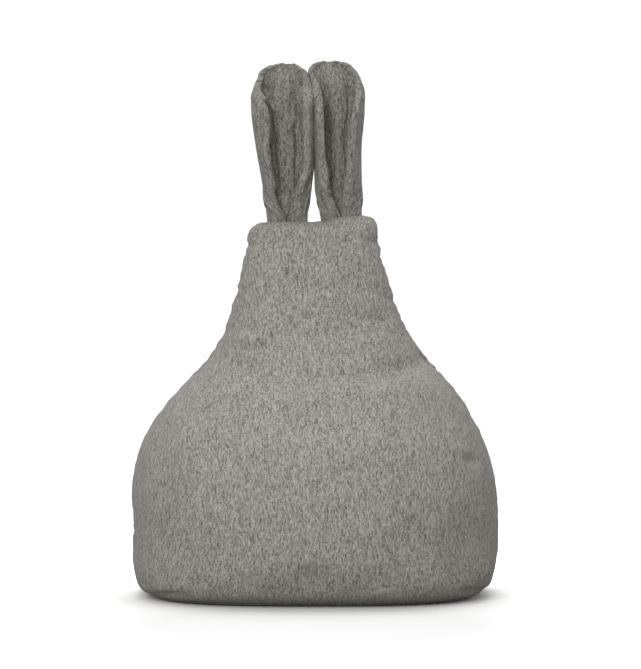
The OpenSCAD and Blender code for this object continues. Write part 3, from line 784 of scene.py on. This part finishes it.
def ear_pieces(side, rows, panel_marks, roll_marks, hinge_z):
    """Makes one ear's leaves and wadding."""
    ring = ear_ring(rows)
    rows_up, columns_round = np.indices(ring.shape[:2])
    edges = (columns_round == 0) | (columns_round == ear_columns)
    sewn = edges | (rows_up == ear_levels - 1)
    wrinkles = cloth_wrinkles(ring, rows_up < 6, sewn, 3.0, 0.04, 2.5 * MM, 25)
    wrinkles = wrinkles * ease((rows_up - 5) / 6) * ease((84 - rows_up) / 12) * ~edges
    ring = ring + ring_normals(ring) * wrinkles[..., None]
    folded = np.concatenate([ring, ring[:, :1]], axis=1)
    front_leaf, back_leaf = finer(folded[:, :ear_columns + 1]), finer(folded[:, ear_columns:])[:, ::-1]
    middle = (front_leaf + back_leaf) / 2
    away = np.abs(np.linspace(-1, 1, middle.shape[1]))
    on_panel, on_roll = 1 - ease((away - 0.5) / 0.14), ease((away - 0.5) / 0.14)
    shift = dented(middle, panel_marks) * on_panel - dented(middle, roll_marks) * on_roll
    moved = grid_normals(middle) * shift[..., None]
    front_leaf, back_leaf = front_leaf + moved, back_leaf + moved
    middle = (front_leaf + back_leaf) / 2
    body = f"ear_{side}"
    for part, points in (("front_leaf", front_leaf), ("back_leaf", back_leaf[:, ::-1])):
        made = new_mesh(f"{body}_{part}_cloth", points, grid_faces(*points.shape[:2]), ear_cloth_painted_shade)
        across = arc_length(points, 1)
        lay_weave(made, across - across[:, [across.shape[1] // 2]] + 100 * hinge_z, points[..., 2])
        thicken(made, ear_thickness)
        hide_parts(f"{body}_{part}")
        bend_from_seam(made)
    inside = (slice(10, -12, 2), slice(20, -20, 2))
    core = middle[inside]
    front_fill, back_fill = (core + (leaf[inside] - core) * 0.55 for leaf in (front_leaf, back_leaf))
    fill = np.concatenate([front_fill, back_fill[:, ::-1]], axis=1)
    wadding = new_mesh(f"{body}_wadding_fibre", fill, closed_faces(*fill.shape[:2]), wadding_fibre)
    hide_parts(f"{body}_wadding")
    bend_from_seam(wadding)


ear_pieces("left", left_ear_rows, left_ear_dents, left_roll_dents, 0.636)
ear_pieces("right", right_ear_rows, right_ear_dents, right_roll_dents, 0.640)


# ---- Cover zip ------------------------------------------------------------------------------------
# A nylon coil zip down the middle of the back. Each half is a woven tape, sewn under the edge of a
# back panel, with a coil of stiff nylon stitched along it. The slider, its pull and the stops are
# zinc alloy castings. The back's arc is the zip's, so that the slider runs true.

zip_low_angle, zip_high_angle = (np.arcsin((z - back_centre_z) / back_radius) for z in (60, 400))
zip_length = back_radius * (zip_high_angle - zip_low_angle) * MM
coil_middle, coil_half_width, coil_wire = 1.78 * MM, 1.0 * MM, 0.32 * MM
coil_pitch = 1.5 * MM
tape_near, tape_far, tape_thickness = 3.2 * MM, 14 * MM, 0.5 * MM


def on_back(along, across, depth):
    """A point of the cover's zip: along the back's arc from its low end, across from the middle, and
    that deep below the cover's face. All are arrays in metres."""
    angle = zip_low_angle + along / (back_radius * MM)
    reach = back_radius * MM - depth
    y, z = back_centre_y * MM + reach * np.cos(angle), back_centre_z * MM + reach * np.sin(angle)
    return np.stack(np.broadcast_arrays(across, y, z), axis=-1)


def nylon():
    """Dyed nylon monofilament, smooth and a little glossy, with a faint unevenness from drawing."""
    material, tree, output = new_material("zip_coil_dyed_nylon")
    grain = add_node(tree, "ShaderNodeTexNoise", {"Scale": 900.0, "Detail": 2.0}).outputs["Fac"]
    join_surface(
        tree, output, grain, [(0.0, "#2c2b29"), (1.0, "#454340")], (grain, 0.3, 0.05),
        (grain, 0.32, 0.48), {"IOR": 1.53},
    )
    return material


def zinc_alloy():
    """Zinc alloy castings plated a dull gunmetal: metallic, satin, with a fine tumbled grain."""
    material, tree, output = new_material("zip_metal_plated_zinc_alloy")
    place = add_node(tree, "ShaderNodeTexCoord").outputs["Object"]
    fine = {"Scale": 1400.0, "Detail": 3.0, "Vector": place}
    coarse = {"Scale": 160.0, "Detail": 2.0, "Vector": place}
    grain, wear = (add_node(tree, "ShaderNodeTexNoise", size).outputs["Fac"] for size in (fine, coarse))
    join_surface(
        tree, output, wear, [(0.0, "#77787b"), (1.0, "#a6a6a8")], (grain, 0.25, 0.05),
        (grain, 0.28, 0.46), {"Metallic": 1.0},
    )
    return material


tape_weave = linen_look("zip_tape_woven_polyester", "#3a3835", "#484643", "#565450")
coil_nylon = nylon()
zip_metal = zinc_alloy()


def zip_coil(node, place, side, start, end, middle_depth, half_depth):
    """One half's coil: a wire wound in flat loops round a line beside the zip's middle. It is a tube
    of six sides, swept along the winding."""
    turns = int((end - start) / coil_pitch)
    phase = np.linspace(0, 2 * np.pi * turns, 12 * turns + 1)
    along = start + (end - start) * phase / phase[-1]
    across = side * (coil_middle - coil_half_width * np.cos(phase))
    path = place(along, across, middle_depth + half_depth * np.sin(phase))
    way = np.gradient(path, axis=0)
    run = place(along + 0.001, across, middle_depth) - place(along, across, middle_depth)
    beside = np.cross(way, run)
    beside /= np.linalg.norm(beside, axis=1, keepdims=True)
    over = np.cross(beside, way)
    over /= np.linalg.norm(over, axis=1, keepdims=True)
    turn = np.linspace(0, 2 * np.pi, 7)[:-1, None]
    wire = path[:, None] + coil_wire * (beside[:, None] * np.cos(turn) + over[:, None] * np.sin(turn))
    faces = [face[::-1] for face in closed_faces(*wire.shape[:2])]
    made = new_mesh(f"{node}_nylon", wire, faces, coil_nylon)
    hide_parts(node)
    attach(made, "cover")


def zip_tape(node, place, side, start, end, depth):
    """One half's tape: a woven strip, slightly rippled between the stitches that hold it."""
    along = np.linspace(start, end, int((end - start) / 0.0025))[:, None]
    across = side * np.linspace(tape_near, tape_far, 9)[None, :]
    outward = (np.abs(across) - tape_near) / (tape_far - tape_near)
    ripple = 0.12 * MM * np.sin(2 * np.pi * along / 0.009) * outward
    points = place(along, across, depth + ripple)
    faces = [face[::side] for face in grid_faces(*points.shape[:2])]
    made = new_mesh(f"{node}_woven", points, faces, tape_weave)
    lay_weave(made, across + 0 * along, along + 0 * across)
    thicken(made, tape_thickness)
    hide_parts(node)
    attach(made, "cover")


# The coils end at the stops, and the tapes run on past them
coil_gap, tape_tail = 0.003, 0.0045
for side, which in ((-1, "left"), (1, "right")):
    zip_coil(f"cover_zip_coil_{which}", on_back, side, coil_gap, zip_length - coil_gap, 2.2 * MM, 1.3 * MM)
    zip_tape(f"cover_zip_tape_{which}", on_back, side, -tape_tail, zip_length + tape_tail, 3.3 * MM)

metal_nodes = [
    "cover_zip_top_stop", "cover_zip_bottom_stop", "cover_zip_slider", "cover_zip_pull",
    "liner_zip_stop_left", "liner_zip_stop_right", "liner_zip_slider",
]
for node in metal_nodes:
    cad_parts[node].data.materials.clear()
    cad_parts[node].data.materials.append(zip_metal)


# ---- Care label -----------------------------------------------------------------------------------
# A blank ribbon of satin polyester, folded in half into a loop whose two ends are caught in the
# middle seam of the back above the zip. It lies to the right, curling a little off the cloth.

label_low, label_high, label_reach = 440 * MM, 488 * MM, 31 * MM


def label_ribbon():
    """Satin-woven polyester ribbon, white, with a close warp that gives it a soft sheen."""
    material, tree, output = new_material("care_label_satin_polyester_ribbon")
    cloth = add_node(tree, "ShaderNodeUVMap", {"uv_map": "weave"}).outputs["UV"]
    # Ribbon yarns lie 0.2 mm apart and are drawn 0.6 mm apart.
    drawn = {"Scale": (1 / (8 * MM), 1 / (0.6 * MM), 1), "Vector": cloth}
    noise = {"Scale": 1.0, "Detail": 1.0, "Vector": add_node(tree, "ShaderNodeMapping", drawn).outputs[0]}
    yarns = add_node(tree, "ShaderNodeTexNoise", noise).outputs["Fac"]
    join_surface(
        tree, output, yarns, [(0.0, "#dcdbd6"), (1.0, "#f3f2ee")], (yarns, 0.4, 0.08),
        (yarns, 0.38, 0.55), {"Sheen Weight": 0.2},
    )
    return material


label_walk = np.linspace(0, 2 * label_reach, 65)[None, :]
label_z = np.linspace(label_low, label_high, 25)[:, None]
label_out = label_reach - np.abs(label_walk - label_reach)
label_fold = 1.2 * MM
label_share = label_out / label_reach
label_bend = np.sqrt(1 - (1 - np.clip((label_reach - label_out) / label_fold, 0, 1)) ** 2)
label_side = np.sign(label_walk - label_reach)
label_curl = 0.5 * MM * np.sin(9 * label_share + 40 * label_z) * label_share
label_lift = 1.5 * MM + 2.2 * MM * label_share**2 + 0.5 * MM * label_side * label_bend + label_curl
label_angle = angle_at_x(label_z, 1 * MM + label_out)
label_points = body_point(label_z, label_angle)
label_points[..., 1] += label_lift
label_faces = [face[::-1] for face in grid_faces(*label_points.shape[:2])]
care_label = new_mesh("care_label_ribbon", label_points, label_faces, label_ribbon())
lay_weave(care_label, label_walk + 0 * label_z, label_z + 0 * label_walk)
thicken(care_label, 0.2 * MM)
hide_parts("care_label")
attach(care_label, "cover")


# ---- Liner ----------------------------------------------------------------------------------------
# The inner bag that holds the beads while the cover is washed. It is white spun-bonded polypropylene,
# sewn from a front, a back and a base, and filled through a zipped slit in the base.

liner_inset, liner_floor, liner_thickness = 11 * MM, 9 * MM, 0.5 * MM
liner_cloth = soft_white("liner_spun_bonded_polypropylene", 1.2, 1.0, 0.25, ("#e4e5e3", "#f6f7f5"))
first_wall_row = seam_row - len(base_turn_heights) + 1
skin_dents = np.where(skin[..., 1] < top_seam_y, dented(skin, front_dents), dented(skin, back_dents))
skin_dents = skin_dents * (distance_up > 2) * (1 - near_zip(skin))


def inner_skin(inset, floor_z):
    """The skin's grid again, inset within it and standing on floor_z, with the same hollows."""
    edge = skin_ring([0.0], inset)
    middle = edge.mean(axis=1, keepdims=True)
    rings = [middle + (edge - middle) * base_shares, skin_ring(base_turn_heights[:-1], inset)]
    points = np.concatenate([*rings, skin_ring(wall_heights, inset)])
    points[..., 2] = floor_z + points[..., 2] * (body_height - inset - floor_z) / body_height
    return points + skin_normals * (skin_dents + lining_wrinkles)[..., None]


liner_skin = inner_skin(liner_inset, liner_floor)


def liner_wall(node, columns):
    """One wall of the liner, from the edge of its base to the top, cut from the inset skin."""
    points = liner_skin[first_wall_row:, columns]
    made = new_mesh(f"{node}_cloth", points, grid_faces(*points.shape[:2]), liner_cloth)
    thicken(made, liner_thickness)
    cover_part(made, node)


liner_wall("liner_front_panel", front_columns_round)
liner_wall("liner_back_panel", list(range(left_seam_column + 1)))

liner_zip_y, liner_slit_half, liner_zip_half = -20 * MM, 4 * MM, 150 * MM
liner_outline = liner_skin[first_wall_row]
outline_order = np.argsort(liner_outline[front_columns_round, 0])
front_edge = liner_outline[front_columns_round][outline_order]
back_order = np.argsort(liner_outline[:left_seam_column + 1, 0])
back_edge = liner_outline[:left_seam_column + 1][back_order]
base_x = np.sort(np.concatenate([
    np.linspace(front_edge[0, 0], front_edge[-1, 0], 90) * 0.9995,
    [-liner_zip_half, -liner_zip_half + 0.1 * MM, liner_zip_half - 0.1 * MM, liner_zip_half],
]))
slit = liner_slit_half * (np.abs(base_x) < liner_zip_half - 0.05 * MM)
outer_edges = [np.interp(base_x, edge[:, 0], edge[:, 1]) for edge in (front_edge, back_edge)]
across_base = np.linspace(0, 1, 24)[:, None]
base_halves = []
for edge_y, lip_y in ((outer_edges[0], liner_zip_y - slit), (outer_edges[1], liner_zip_y + slit)):
    y = edge_y + (lip_y - edge_y) * across_base
    base_halves.append(np.stack([base_x + 0 * y, y, liner_floor + 0 * y], axis=-1))
front_half, back_half = base_halves
half_faces = grid_faces(*front_half.shape[:2])
back_faces = [[index + front_half[..., 0].size for index in face] for face in half_faces]
liner_base_points = np.concatenate([front_half.reshape(-1, 3), back_half.reshape(-1, 3)])
liner_base_faces = [face[::-1] for face in half_faces] + back_faces
liner_base = new_mesh("liner_base_panel_cloth", liner_base_points, liner_base_faces, liner_cloth)
thicken(liner_base, liner_thickness)
cover_part(liner_base, "liner_base_panel")


def on_liner_base(along, across, depth):
    """A point of the liner's zip: along it from its left end, across from its middle line, and that
    far above its underside."""
    x, y, z = along - liner_zip_half, liner_zip_y + across, liner_floor - 0.2 * MM + depth
    return np.stack(np.broadcast_arrays(x, y, z), axis=-1)


for side, which in ((-1, "front"), (1, "back")):
    zip_coil(f"liner_zip_coil_{which}", on_liner_base, side, 0.0045, 0.2955, 0.9 * MM, 0.55 * MM)
    zip_tape(f"liner_zip_tape_{which}", on_liner_base, side, -0.008, 0.308, 1.2 * MM)


# ---- Beads ----------------------------------------------------------------------------------------
# Expanded polystyrene beads, 3 to 5 mm across, packed into one mass that fills the liner.

bead_points = inner_skin(14 * MM, 12.5 * MM)
bead_fill = new_mesh(
    "bead_fill_polystyrene", bead_points, closed_faces(*bead_points.shape[:2]),
    soft_white("expanded_polystyrene_beads", 4.0, 1.0, 2.0, ("#ecedee", "#fbfbfb")),
)
cover_part(bead_fill, "bead_fill")
